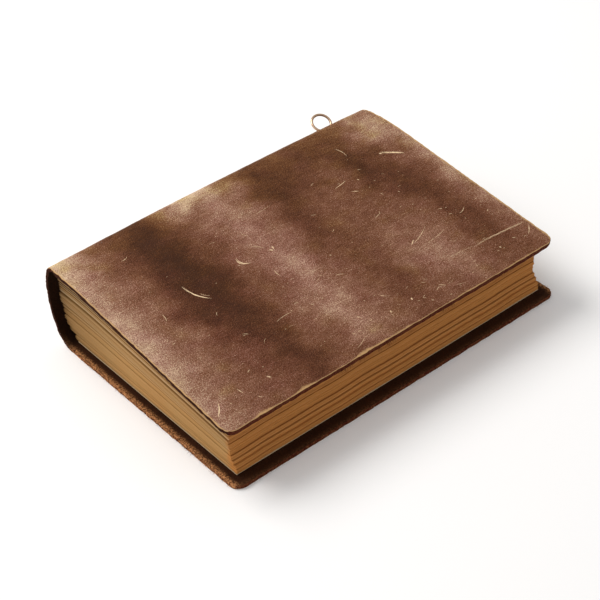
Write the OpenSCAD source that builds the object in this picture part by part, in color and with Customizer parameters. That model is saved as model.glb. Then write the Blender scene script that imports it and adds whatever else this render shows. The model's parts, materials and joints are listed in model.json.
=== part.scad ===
// Leather travel journal: a wrap of thick leather round a block of sewn kraft paper.
// X runs from the spine to the free edges, Y along the spine from tail to head, Z up from the table.
// The origin is under the middle of the closed book, ring included. All sizes are in millimetres.

/* [Covers] */
// Height of the covers, along the spine
cover_height = 203; // [140:1:280]
// Reach of the back cover, from the outermost bulge of the spine to its free edge
back_reach = 149; // [110:1:210]
// How far the front cover's free edge stops short of the back cover's
front_short = 1.5; // [0:0.1:5]
// Thickness of the leather
leather = 2.2; // [1.4:0.1:3]
// Radius of the free corners of both covers
corner_round = 5.5; // [1:0.5:12]

/* [Spine] */
// Height of the closed book at the fold of the front cover
crown_height = 49; // [40:0.5:70]
// Height of the closed book at the free edge of the front cover
fore_height = 34; // [28:0.5:60]
// Outer radius of the tight bend at the top of the spine
bend_radius = 7; // [5:0.5:10]
// Outer radius of the soft bend at the foot of the spine
foot_radius = 11.5; // [8:0.5:15]
// Half of the turn that the bulge of the spine makes
bulge_angle = 20; // [12:1:28]
// How far the front cover dips towards its fold
crown_drop = 2.4; // [0.5:0.1:4]
// Length of the front cover over which it dips
crown_reach = 30; // [15:1:45]

/* [Folds] */
// Free gap between the leather edges on either side of a fold
fold_gap = 0.3; // [0.2:0.05:0.6]
// How far the turning line of a fold lies outside the grain side
fold_lift = 0.15; // [0.1:0.05:0.4]

/* [Pages] */
// Number of sewn signatures
signatures = 13; // [6:1:18]
// Distance of the paper from the tail edge of the covers
tail_inset = 5.5; // [2:0.1:12]
// Distance of the paper from the head edge of the covers
head_inset = 5.5; // [2:0.1:12]
// Distance of most signatures from the free edge of the front cover
fore_inset = 9; // [5.5:0.1:20]
// Number of signatures at the bottom that stand out at the fore edge
low_count = 2; // [0:1:4]
// How far those signatures stand out
low_reach = 3.5; // [0:0.1:4]
// How unevenly the signatures end
ragged = 0.35; // [0:0.05:0.6]
// Depth of the groove between two signatures
groove_depth = 0.4; // [0.1:0.05:0.8]
// Length of the rounded folds of the signatures
fold_round = 1.2; // [0.5:0.1:2]
// Play between paper and leather
paper_play = 0.3; // [0.2:0.05:0.8]
// Play between the folds of the signatures and the spine
spine_play = 0.5; // [0.3:0.05:1.2]
// How far the top signature is set back from the spine, behind the ring
top_setback = 1.5; // [0.5:0.1:6]
// Thickness of each endpaper
endpaper = 0.4; // [0.2:0.05:0.8]
// Play between an endpaper and the block
sheet_play = 0.05; // [0.02:0.01:0.2]

/* [Sewing] */
// Diameter of the waxed thread
thread = 0.9; // [0.5:0.1:1.2]
// Length of a long stitch on the spine
stitch_length = 46; // [20:1:52]
// Distance of the outermost slits from the ends of the spine
slit_inset = 36; // [34:1:44]
// Play of the thread in a slit, on each side
slit_play = 0.15; // [0.1:0.05:0.4]
// Play between thread and leather
thread_play = 0.05; // [0.02:0.01:0.2]

/* [Ring] */
// Outer diameter of the wire ring on the spine
ring_outer = 12; // [11:0.1:13]
// Diameter of the ring's wire
ring_wire = 1.4; // [1:0.1:1.6]
// Distance of the ring's middle from the head edge of the covers
ring_from_head = 25; // [15:0.5:28]
// Lean of the ring towards the outside of the spine, in degrees
ring_lean = 62; // [60:1:66]
// Play between the ring and its holes in the leather
ring_play = 0.1; // [0.05:0.05:0.3]

/* [Hidden] */
leather_color = [0.36, 0.21, 0.15];
paper_color = [0.66, 0.50, 0.30];
endpaper_color = [0.72, 0.66, 0.56];
thread_color = [0.82, 0.74, 0.58];
ring_color = [0.80, 0.62, 0.44];
steps = 12;
thread_sides = 8;
// Turns that spread the ragged ends so that no two neighbours are alike
ragged_turn_fore = 137;
ragged_turn_tail = 97;
ragged_turn_head = 61;

tail = -cover_height / 2;
head = cover_height / 2;

// The fold of the front cover is at x = 0 here, and shift moves the closed book over the origin.
// A heading is the direction of travel down the spine: 180 to the left, 270 down, 360 to the right.
// The front cover's length follows from the bulge, the bulge from the heading at the fold, and
// that from the length: the length over a level fold starts the round, and one pass settles it.
function heading_at_fold(length) =
    180 + atan(2 * crown_drop / crown_reach - (crown_height + crown_drop - fore_height) / length);
level_length = back_reach - front_short - bulge_depth(180);
front_length = back_reach - front_short - bulge_depth(heading_at_fold(level_length));
tilt = (crown_height + crown_drop - fore_height) / front_length;
fold_heading = heading_at_fold(front_length);

bend_centre = [-bend_radius * sin(fold_heading), crown_height + bend_radius * cos(fold_heading)];
bend_end = bend_centre + bend_radius * [-cos(bulge_angle), sin(bulge_angle)];
foot_start_z = foot_radius * (1 - sin(bulge_angle));
bulge_radius = (bend_end.y - foot_start_z) / (2 * sin(bulge_angle));
bulge_centre = bend_end + bulge_radius * [cos(bulge_angle), -sin(bulge_angle)];
foot_centre = [bulge_centre.x - (bulge_radius - foot_radius) * cos(bulge_angle), foot_radius];
spine_x = bulge_centre.x - bulge_radius;
back_x = spine_x + back_reach;
front_x = front_length;

// Place of the ring, square to the tight bend: its lowest wire runs in the middle of the leather
ring_rise = (ring_outer - ring_wire - leather) / 2;
ring_centre = bend_centre + (bend_radius + ring_rise) * heading_out(180 + ring_lean);
ring_y = head - ring_from_head;
ring_x = ring_centre.x - (ring_outer - ring_wire) / 2 * sin(ring_lean) - ring_wire / 2;
shift = -(min(ring_x, spine_x - thread - thread_play) + back_x) / 2;

// The back fold's turning line lies at half the leather's height, so an open back cover lies flat.
back_fold_turn = acos((foot_radius - leather / 2) / (foot_radius + fold_lift));
back_fold_heading = 360 - back_fold_turn;
front_axis = bend_centre + (bend_radius + fold_lift) * heading_out(fold_heading);
back_axis = foot_centre + (foot_radius + fold_lift) * heading_out(back_fold_heading);

// How far the spine bulges out beyond the front fold, for a given heading at the fold
function bulge_depth(heading) =
    let (centre_z = crown_height + bend_radius * cos(heading),
         centre_x = -bend_radius * sin(heading),
         end_z = centre_z + bend_radius * sin(bulge_angle),
         radius = (end_z - foot_radius * (1 - sin(bulge_angle))) / (2 * sin(bulge_angle)))
    bend_radius * cos(bulge_angle) - centre_x + radius * (1 - cos(bulge_angle));

// Direction away from the inside of the book, at a heading on the spine
function heading_out(heading) = [sin(heading), -cos(heading)];

function reverse(list) = [for (i = [len(list) - 1 : -1 : 0]) list[i]];

// Points along an arc of the spine, from one heading to another
function arc(centre, radius, from, to) =
    [for (i = [0 : steps]) centre + radius * heading_out(from + (to - from) * i / steps)];

// Half of the free gap at a fold, as a turn on an arc of that radius
function gap_turn(radius) = fold_gap / 2 / radius * 180 / PI;

// Grain side of the front cover over x: a straight slope that dips towards the fold
function cover_z(x) =
    crown_height + crown_drop - tilt * x - crown_drop * pow(max(0, 1 - x / crown_reach), 2);

// The x values at which the front cover's slope is sampled between two ends
function slope_points(from, to) =
    [for (i = [0 : steps]) from + (min(to, crown_reach) - from) * i / steps, to];

// The x of a skin that lies this far outside the grain side of the spine, at height z
function spine_at(z, outside) =
    let (bulge_half = (bulge_radius + outside) * sin(bulge_angle))
    z > bulge_centre.y + bulge_half
        ? bend_centre.x - sqrt(pow(bend_radius + outside, 2) - pow(z - bend_centre.y, 2))
        : z < bulge_centre.y - bulge_half
            ? foot_centre.x - sqrt(pow(foot_radius + outside, 2) - pow(z - foot_centre.y, 2))
            : bulge_centre.x - sqrt(pow(bulge_radius + outside, 2) - pow(z - bulge_centre.y, 2));

// Heights of the paper
block_floor = leather + paper_play + endpaper + sheet_play;
function block_top(x) = cover_z(x) - leather - paper_play - endpaper - sheet_play;
function leaf_z(x, count) = block_floor + (block_top(x) - block_floor) * count / signatures;
function signature_z(i) = leaf_z(spine_x + leather + spine_play, i + 0.5);

// Tip of a signature's fold: its middle and both its shoulders stay clear of the spine
function signature_fold(i) =
    let (low = leaf_z(spine_x + leather + spine_play, i) - paper_play,
         high = leaf_z(spine_x + leather + spine_play, i + 1) + paper_play)
    max(spine_at(signature_z(i), -leather),
        spine_at(low, -leather) - fold_round,
        spine_at(high, -leather) - fold_round)
    + spine_play + (i == signatures - 1 ? top_setback : 0);

function signature_reach(i) =
    front_x - fore_inset + (i < low_count ? low_reach : 0) + ragged * sin(i * ragged_turn_fore);

// Slits in the spine and the stitches between them, as distances from the tail
slit_width = thread + 2 * slit_play;
stitches = [[tail + slit_inset, tail + slit_inset + stitch_length],
            [head - slit_inset - stitch_length, head - slit_inset]];
slit_low = signature_z(0) - thread / 2 - slit_play;
slit_high = signature_z(signatures - 1) + thread / 2 + slit_play;

// Stands an outline drawn in X and Z up along Y, between two values of Y
module along_y(from, to) {
    translate([shift, to, 0])
        rotate([90, 0, 0])
            linear_extrude(to - from)
                children();
}

// A cover's outline from above: square at the spine, with two round corners at the free edge
module cover_plan(from, to, height) {
    translate([shift, 0, -1])
        linear_extrude(height + 2)
            union() {
                translate([from, tail])
                    square([to - corner_round - from, cover_height]);
                translate([to - 2 * corner_round, tail + corner_round])
                    square([2 * corner_round, cover_height - 2 * corner_round]);
                for (y = [tail + corner_round, head - corner_round])
                    translate([to - corner_round, y])
                        circle(r = corner_round, $fn = 48);
            }
}

module ring_shape(wire) {
    translate([ring_centre.x + shift, ring_y, ring_centre.y])
        rotate([0, 90 - ring_lean, 0])
            rotate_extrude($fn = 64)
                translate([(ring_outer - ring_wire) / 2, 0])
                    circle(d = wire, $fn = 24);
}

// Front panel of the wrap: lies on the paper, and slopes down to its free edge
module front_cover() {
    xs = slope_points(fold_gap / 2, front_x);
    color(leather_color)
        intersection() {
            along_y(tail, head)
                polygon(concat([for (x = xs) [x, cover_z(x)]],
                               [for (x = reverse(xs)) [x, cover_z(x) - leather]]));
            cover_plan(0, front_x, crown_height + crown_drop);
        }
}

// Spine panel of the wrap: tight bend, bulge and soft foot, with slits for the thread
module spine() {
    from = fold_heading + gap_turn(bend_radius);
    to = back_fold_heading - gap_turn(foot_radius);
    low = 270 - bulge_angle;
    high = 270 + bulge_angle;
    outer = concat(arc(bend_centre, bend_radius, from, low),
                   arc(bulge_centre, bulge_radius, low, high),
                   arc(foot_centre, foot_radius, high, to));
    inner = concat(arc(bend_centre, bend_radius - leather, from, low),
                   arc(bulge_centre, bulge_radius - leather, low, high),
                   arc(foot_centre, foot_radius - leather, high, to));
    color(leather_color)
        difference() {
            along_y(tail, head)
                polygon(concat(outer, reverse(inner)));
            for (pair = stitches, y = pair)
                translate([spine_x + shift - 1, y - slit_width / 2, slit_low])
                    cube([1 - spine_x, slit_width, slit_high - slit_low]);
            ring_shape(ring_wire + 2 * ring_play);
        }
}

// Back panel of the wrap: flat on the table, and turned up a little at its fold
module back_cover() {
    from = back_fold_heading + gap_turn(foot_radius);
    color(leather_color)
        intersection() {
            along_y(tail, head)
                polygon(concat(arc(foot_centre, foot_radius, from, 360),
                               [[back_x, 0], [back_x, leather]],
                               reverse(arc(foot_centre, foot_radius - leather, from, 360))));
            cover_plan(spine_x, back_x, foot_radius);
        }
}

// Outline of one signature: a rounded fold at the spine, and a chamfered end at the fore edge
module signature(i) {
    tip = signature_fold(i);
    root = tip + fold_round;
    end = signature_reach(i);
    low = leaf_z(root, i);
    high = leaf_z(root, i + 1);
    middle = (low + high) / 2;
    xs = slope_points(root, end - groove_depth);
    fold = [for (k = [1 : steps - 1])
               let (a = 90 - 180 * k / steps)
               [root - fold_round * cos(a), middle + (high - low) / 2 * sin(a)]];
    under = i == 0 ? 0 : sheet_play;
    notch = (leaf_z(end, i + 1) - leaf_z(end, i)) / 4;
    polygon(concat([[end, leaf_z(end, i + 1) - notch]],
                   [for (x = reverse(xs)) [x, leaf_z(x, i + 1)]],
                   fold,
                   [for (x = xs) [x, leaf_z(x, i) - under]],
                   [[end, leaf_z(end, i) + notch]]));
}

// All signatures, pressed together into one block
module page_block() {
    color(paper_color)
        for (i = [0 : signatures - 1])
            along_y(tail + tail_inset + ragged * sin(i * ragged_turn_tail),
                    head - head_inset + ragged * sin(i * ragged_turn_head))
                signature(i);
}

// Pale sheet between the front cover and the block
module front_endpaper() {
    xs = slope_points(signature_fold(signatures - 1) + fold_round, signature_reach(signatures - 1));
    color(endpaper_color)
        along_y(tail + tail_inset, head - head_inset)
            polygon(concat([for (x = xs) [x, block_top(x) + sheet_play + endpaper]],
                           [for (x = reverse(xs)) [x, block_top(x) + sheet_play]]));
}

// Pale sheet between the block and the back cover
module back_endpaper() {
    from = foot_centre.x - fold_round;
    color(endpaper_color)
        along_y(tail + tail_inset, head - head_inset)
            translate([from, leather + paper_play])
                square([signature_reach(0) - from, endpaper]);
}

// One long stitch: the run on the spine, and a leg through the slit at each end
module stitch(i, from, to) {
    z = signature_z(i);
    x = spine_at(z, thread / 2 + thread_play);
    translate([x + shift, from - thread / 2, z])
        rotate([-90, 0, 0])
            cylinder(d = thread, h = to - from + thread, $fn = thread_sides);
    for (y = [from, to])
        translate([x + shift, y, z])
            rotate([0, 90, 0])
                cylinder(d = thread, h = signature_fold(i) - thread_play - x, $fn = thread_sides);
}

// Waxed thread that holds each signature to the spine
module binding_thread() {
    color(thread_color)
        for (i = [0 : signatures - 1], pair = stitches)
            stitch(i, pair[0], pair[1]);
}

// Closed ring of wire, threaded through two holes in the bend at the top of the spine
module spine_ring() {
    color(ring_color)
        ring_shape(ring_wire);
}

front_cover();
spine();
back_cover();
page_block();
front_endpaper();
back_endpaper();
binding_thread();
spine_ring();
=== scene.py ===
"""The looks of a hand-bound leather travel journal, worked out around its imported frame.

Sizes in the functions are in millimetres and become metres only when a mesh is made. X runs from
the spine to the free edges, Y from tail to head, Z up from the table.
"""

import json
import math

import bpy
import numpy as np
from mathutils import Matrix, Vector


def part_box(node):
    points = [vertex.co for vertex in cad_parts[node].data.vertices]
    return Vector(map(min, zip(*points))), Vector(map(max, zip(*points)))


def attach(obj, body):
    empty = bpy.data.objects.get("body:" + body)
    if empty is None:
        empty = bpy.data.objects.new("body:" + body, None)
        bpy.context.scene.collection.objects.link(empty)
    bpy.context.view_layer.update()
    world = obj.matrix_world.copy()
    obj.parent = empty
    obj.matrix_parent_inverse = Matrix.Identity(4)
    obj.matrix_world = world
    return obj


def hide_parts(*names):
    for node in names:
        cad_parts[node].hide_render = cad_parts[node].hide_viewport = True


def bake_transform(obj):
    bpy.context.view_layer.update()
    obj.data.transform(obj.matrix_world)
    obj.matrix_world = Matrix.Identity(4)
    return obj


bl_info = {
    "name": "Leather travel journal",
    "version": (1, 0, 0),
    "blender": (4, 5, 0),
    "location": "View3D > Sidebar > Journal",
    "description": "Builds the leather, paper, thread and ring of a hand-bound journal",
    "category": "Object",
}

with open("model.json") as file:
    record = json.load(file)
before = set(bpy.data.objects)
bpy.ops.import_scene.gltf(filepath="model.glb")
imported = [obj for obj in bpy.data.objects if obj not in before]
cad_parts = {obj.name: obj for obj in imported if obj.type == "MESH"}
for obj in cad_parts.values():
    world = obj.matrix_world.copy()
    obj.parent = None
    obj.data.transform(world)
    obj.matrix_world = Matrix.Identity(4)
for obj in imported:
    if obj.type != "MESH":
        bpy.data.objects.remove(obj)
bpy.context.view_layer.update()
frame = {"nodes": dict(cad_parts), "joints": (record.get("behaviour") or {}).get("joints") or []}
MM = 0.001


def corners(node):
    """Lowest and highest corner of a node of the frame, in millimetres."""
    low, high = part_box(node)
    return np.array(low) / MM, np.array(high) / MM


FRONT_LOW, FRONT_HIGH = corners("front_cover")
BACK_LOW, BACK_HIGH = corners("back_cover")
SPINE_LOW, SPINE_HIGH = corners("spine")
PAPER_LOW, PAPER_HIGH = corners("page_block")
RING_LOW, RING_HIGH = corners("spine_ring")
HINGES = {joint["name"]: np.array(joint["pos_m"]) / MM for joint in frame["joints"]}
FRONT_HINGE = HINGES["front_cover_hinge"]

# Distances from a cut edge at which a sheet of leather has points, crowded towards the edge.
EDGE_STEPS = np.array([0, 0.1, 0.22, 0.38, 0.6, 0.9, 1.3, 1.9, 2.7, 3.7, 4.8, 5.9])


def number(name, text, default, **kind):
    """A property that holds a plain number, with its unit or subtype."""
    return bpy.props.FloatProperty(name=name, description=text, default=default, **kind)


def length(name, text, default):
    """A length property, given in millimetres and kept in metres."""
    return number(name, text, default * MM, unit="LENGTH", precision=5)


def angle(name, text, degrees):
    """An angle property, given in degrees and kept in radians."""
    return number(name, text, math.radians(degrees), subtype="ANGLE")


def count(name, text, default):
    """A property that holds a whole number of things."""
    return bpy.props.IntProperty(name=name, description=text, default=default, subtype="UNSIGNED")


def colour(name, text, shade):
    """A colour property, given as a hexadecimal shade and kept as linear light."""
    parts = [int(shade[i : i + 2], 16) / 255 for i in (0, 2, 4)]
    linear = [p / 12.92 if p <= 0.04045 else ((p + 0.055) / 1.055) ** 2.4 for p in parts]
    return bpy.props.FloatVectorProperty(
        name=name, description=text, subtype="COLOR", size=3, min=0, max=1, default=linear
    )


class JournalWrap(bpy.types.PropertyGroup):
    """Sizes of the leather wrap."""

    thickness: length("Thickness", "Thickness of the leather", 2.2)
    crown_height: length("Crown height", "Height at the fold of the front cover", 49)
    fore_height: length("Fore height", "Height at the front cover's free edge", 34)
    crown_drop: length("Crown drop", "How far the front cover dips to its fold", 2.4)
    crown_reach: length("Crown reach", "Length over which it dips", 30)
    bend_radius: length("Bend radius", "Outer radius of the bend at the top", 7)
    foot_radius: length("Foot radius", "Outer radius of the bend at the foot", 11.5)
    bulge_angle: angle("Bulge angle", "Half of the turn that the bulge makes", 20)
    corner: length("Corner", "Radius of the free corners", 5.5)
    arris: length("Arris", "Rounding of the cut edges", 0.38)
    sway: length("Sway", "Depth of the leather's slow waves", 0.16)
    nibble: length("Nibble", "Depth of the notches in the cut edges", 0.13)
    bow: length("Bow", "How far the bend at the top bows out half way along", 0.9)
    cap: length("Cap", "How far the ends of the bend are worn back", 1.3)


class JournalPaper(bpy.types.PropertyGroup):
    """Sizes of the sewn block."""

    signatures: count("Signatures", "Number of sewn signatures", 13)
    leaves: count("Leaves", "Leaves counted through one signature", 16)
    low_count: count("Low signatures", "Signatures that stand out at the foot", 2)
    play: length("Play", "Distance of the paper from the leather", 0.3)
    sheet: length("Endpaper", "Thickness of an endpaper", 0.4)
    sheet_play: length("Sheet play", "Play between an endpaper and the block", 0.05)
    spine_play: length("Spine play", "Play between the folds and the spine", 0.5)
    fold: length("Fold", "Length of a signature's rounded fold", 1.2)
    setback: length("Setback", "How far the top signature is set back", 1.5)
    low_reach: length("Low reach", "How far the low signatures stand out", 3.5)
    ragged: length("Ragged", "How unevenly the signatures end", 0.35)
    groove: length("Groove", "Depth of the groove between signatures", 0.28)
    jitter: length("Jitter", "How unevenly the leaves of a signature end", 0.07)


class JournalSewing(bpy.types.PropertyGroup):
    """Sizes of the thread and the ring."""

    thread: length("Thread", "Diameter of the waxed thread", 0.9)
    lift: length("Lift", "Play between thread and leather", 0.05)
    slit: length("Slit", "Width of a sewing slit", 1.2)
    slit_depth: length("Slit depth", "Depth to which a slit shows", 1.5)
    inset: length("Inset", "Distance of the outermost slits from the ends", 36)
    stitch: length("Stitch", "Length of a long stitch", 46)
    ply_turn: length("Ply turn", "Length of one turn of the thread's plies", 2.6)
    ring_wire: length("Ring wire", "Diameter of the ring's wire", 1.4)
    ring_lean: angle("Ring lean", "Lean of the ring towards the outside", 62)


class JournalColours(bpy.types.PropertyGroup):
    """Colours of the leather, paper, thread and ring."""

    grain_dark: colour("Grain, dark", "Leather where the oil is deepest", "3c1c08")
    grain_deep: colour("Grain, deep", "Leather in the dark clouds", "5a3016")
    grain_middle: colour("Grain, middle", "Leather as dyed", "7d4f37")
    grain_light: colour("Grain, light", "Leather where the oil has moved away", "a37963")
    grain_pale: colour("Grain, pale", "Leather at its most rubbed", "e3c7a6")
    plum: colour("Plum", "Reddish cast of the dye", "f8eef7")
    olive: colour("Olive", "Greenish cast of the oil", "fbffd6")
    flesh: colour("Flesh side", "Suede inside of the leather", "2a160c")
    flesh_light: colour("Flesh side, light", "Raised nap of the suede", "4c2c1a")
    cut: colour("Cut edge", "Raw cut of the leather", "481608")
    cut_fuzz: colour("Cut edge, fuzz", "Loose fibres of the raw cut", "cf9260")
    rubbed: colour("Rubbed edge", "Edge worn down to the hide", "d0a874")
    scratch: colour("Scratch", "Hide bared by a scratch", "ecd0a8")
    paper: colour("Paper", "Kraft paper", "b68f5b")
    # Oranger paper: the fore edge, partly aged and partly painted bounce light, and random blush.
    paper_shade: colour("Paper, aged", "Kraft paper at its handled edge", "c07c3c")
    # Also the painted shade in the grooves between signatures and between the thread's plies.
    paper_gap: colour("Paper, gap", "Between two leaves", "54300f")
    sheet: colour("Endpaper", "Pale sheet inside the covers", "cdb592")
    thread: colour("Thread", "Waxed thread", "cdb994")
    wire: colour("Wire", "Pale brass wire", "d6b79c")
    floor: colour("Floor", "Floor and backdrop", "fcfdff")


class JournalStage(bpy.types.PropertyGroup):
    """Light and camera."""

    key: number("Key", "Power of the window light", 17, unit="POWER")
    fill: number("Fill", "Power of the soft light from above", 2.2, unit="POWER")
    sky: number("Sky", "Strength of the light from all round", 0.54, subtype="FACTOR")
    camera: bpy.props.FloatVectorProperty(
        name="Camera",
        description="Place of the camera",
        default=(0.51022, -0.37699, 0.50785),
        subtype="TRANSLATION",
        unit="LENGTH",
    )
    azimuth: angle("Azimuth", "Side that the camera looks from", 53.5985)
    elevation: angle("Elevation", "Height that it looks down from", 38.1535)
    roll: angle("Roll", "Turn of the camera about its view", 4.9331)
    lens: number("Lens", "Focal length on a sensor 36 mm wide", 96.85, unit="CAMERA")


class JournalSettings(bpy.types.PropertyGroup):
    """All that a user would change."""

    wrap: bpy.props.PointerProperty(type=JournalWrap)
    paper: bpy.props.PointerProperty(type=JournalPaper)
    sewing: bpy.props.PointerProperty(type=JournalSewing)
    colours: bpy.props.PointerProperty(type=JournalColours)
    stage: bpy.props.PointerProperty(type=JournalStage)


# Shape helpers


def ease(t):
    """Smooth step: 3 t squared less 2 t cubed, with t held between 0 and 1."""
    t = np.clip(t, 0, 1)
    return t * t * (3 - 2 * t)


def ripples(x, y, size, seed, count=16):
    """Soft noise of unit size: sine waves of about the given length in random directions, summed."""
    rng = np.random.default_rng(seed)
    turn = rng.uniform(0, 2 * np.pi, count)
    pitch = 2 * np.pi / size * rng.uniform(0.6, 1.7, count)
    phase = rng.uniform(0, 2 * np.pi, count)
    total = np.zeros(np.broadcast(x, y).shape)
    for a, k, p in zip(turn, pitch, phase):
        total += np.sin(k * (x * math.cos(a) + y * math.sin(a)) + p)
    return total / math.sqrt(count / 2)


def spaced(*runs):
    """Stations along a line from runs of (start, end, largest step), with shared ends kept once."""
    parts = [np.linspace(a, b, max(1, math.ceil(abs(b - a) / step - 1e-9)) + 1) for a, b, step in runs]
    return np.unique(np.round(np.concatenate(parts), 5))


def box_skin(nu, nv, nw):
    """Skin of a block of nu by nv by nw lattice points.

    Returns the lattice indices of its points, its quads wound to face outwards, and for each quad
    the side it lies on: 0 and 1 for the ends of the first index, then 2, 3 and 4, 5.
    """
    size = (nu, nv, nw)
    quads, sides = [], []
    for axis in range(3):
        b, c = (axis + 1) % 3, (axis + 2) % 3
        i, j = np.meshgrid(np.arange(size[b] - 1), np.arange(size[c] - 1), indexing="ij")
        for end in (0, 1):
            steps = ((0, 0), (1, 0), (1, 1), (0, 1)) if end else ((0, 0), (0, 1), (1, 1), (1, 0))
            ring = []
            for di, dj in steps:
                index = [None] * 3
                index[axis] = np.full(i.shape, (size[axis] - 1) * end)
                index[b], index[c] = i + di, j + dj
                ring.append(np.ravel_multi_index(index, size).ravel())
            quads.append(np.stack(ring, 1))
            sides.append(np.full(i.size, 2 * axis + end))
    used, quads = np.unique(np.concatenate(quads), return_inverse=True)
    quads = quads.reshape(-1, 4)
    return np.unravel_index(used, size), quads, np.concatenate(sides)


def new_piece(name, points, quads, materials, body=None, facet=None):
    """Makes a mesh piece from points in millimetres and faces, smooth up to the facet angle."""
    mesh = bpy.data.meshes.new(name)
    quads = np.asarray(quads)
    mesh.vertices.add(len(points))
    mesh.vertices.foreach_set("co", (np.asarray(points) * MM).astype(np.float32).ravel())
    mesh.loops.add(quads.size)
    mesh.loops.foreach_set("vertex_index", quads.astype(np.int32).ravel())
    mesh.polygons.add(len(quads))
    mesh.polygons.foreach_set("loop_start", np.arange(0, quads.size, quads.shape[1], dtype=np.int32))
    mesh.update(calc_edges=True)
    mesh.validate()
    mesh.shade_smooth()
    if facet:
        mesh.set_sharp_from_angle(angle=math.radians(facet))
    for material in materials:
        mesh.materials.append(material)
    piece = bpy.data.objects.new(name, mesh)
    bpy.context.scene.collection.objects.link(piece)
    if body:
        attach(piece, body)
    return piece


def set_attribute(piece, name, values):
    """Stores one number or one vector for each point of the piece."""
    values = np.asarray(values, np.float32)
    kind = "FLOAT" if values.ndim == 1 else "FLOAT_VECTOR"
    attribute = piece.data.attributes.new(name, kind, "POINT")
    attribute.data.foreach_set("value" if values.ndim == 1 else "vector", values.ravel())


def set_materials(piece, indices):
    """Gives each face its material by index."""
    piece.data.polygons.foreach_set("material_index", np.asarray(indices, np.int32))


def tubes(centre, side, up, radius, sides):
    """Skins of many tubes at once: a circle about each centre point, in the plane of side and up.

    centre, side and up are (tubes, rings, 3), radius is (tubes, rings, sides) or broadcasts to it.
    The ends stay open: they lie in the leather, or come to a point.
    """
    count, rings = centre.shape[:2]
    turn = np.linspace(0, 2 * np.pi, sides, endpoint=False)
    radius = np.broadcast_to(radius, (count, rings, sides))[..., None]
    circle = np.cos(turn)[:, None] * side[:, :, None, :] + np.sin(turn)[:, None] * up[:, :, None, :]
    points = centre[:, :, None, :] + radius * circle
    ids = np.arange(count * rings * sides).reshape(count, rings, sides)
    a, b = ids[:, :-1], ids[:, 1:]
    quads = np.stack([a, np.roll(a, -1, 2), np.roll(b, -1, 2), b], -1).reshape(-1, 4)
    return points.reshape(-1, 3), quads


# The wrap's line in section


class Line:
    """A line in X and Z, measured along its length. Its outer side is on the right of travel,
    which is up on the front cover and down under the back cover."""

    def __init__(self, points):
        self.points = points
        self.along = np.concatenate([[0], np.cumsum(np.hypot(*np.diff(points, axis=0).T))])
        slope = np.gradient(points, self.along, axis=0)
        slope /= np.linalg.norm(slope, axis=1)[:, None]
        self.outward = np.stack([slope[:, 1], -slope[:, 0]], 1)

    def place(self, along, out):
        """X and Z of points this far along the line and this far outside it."""
        at = [np.interp(along, self.along, self.points[:, k]) for k in (0, 1)]
        normal = [np.interp(along, self.along, self.outward[:, k]) for k in (0, 1)]
        return at[0] + normal[0] * out, at[1] + normal[1] * out


def heading_out(heading):
    """Direction away from the inside of the book at a heading in radians."""
    return np.stack([np.sin(heading), -np.cos(heading)], -1)


def arc(centre, radius, start, end, count=160):
    """Points on an arc of the spine from one heading to another."""
    return centre + radius * heading_out(np.linspace(start, end, count))


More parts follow.
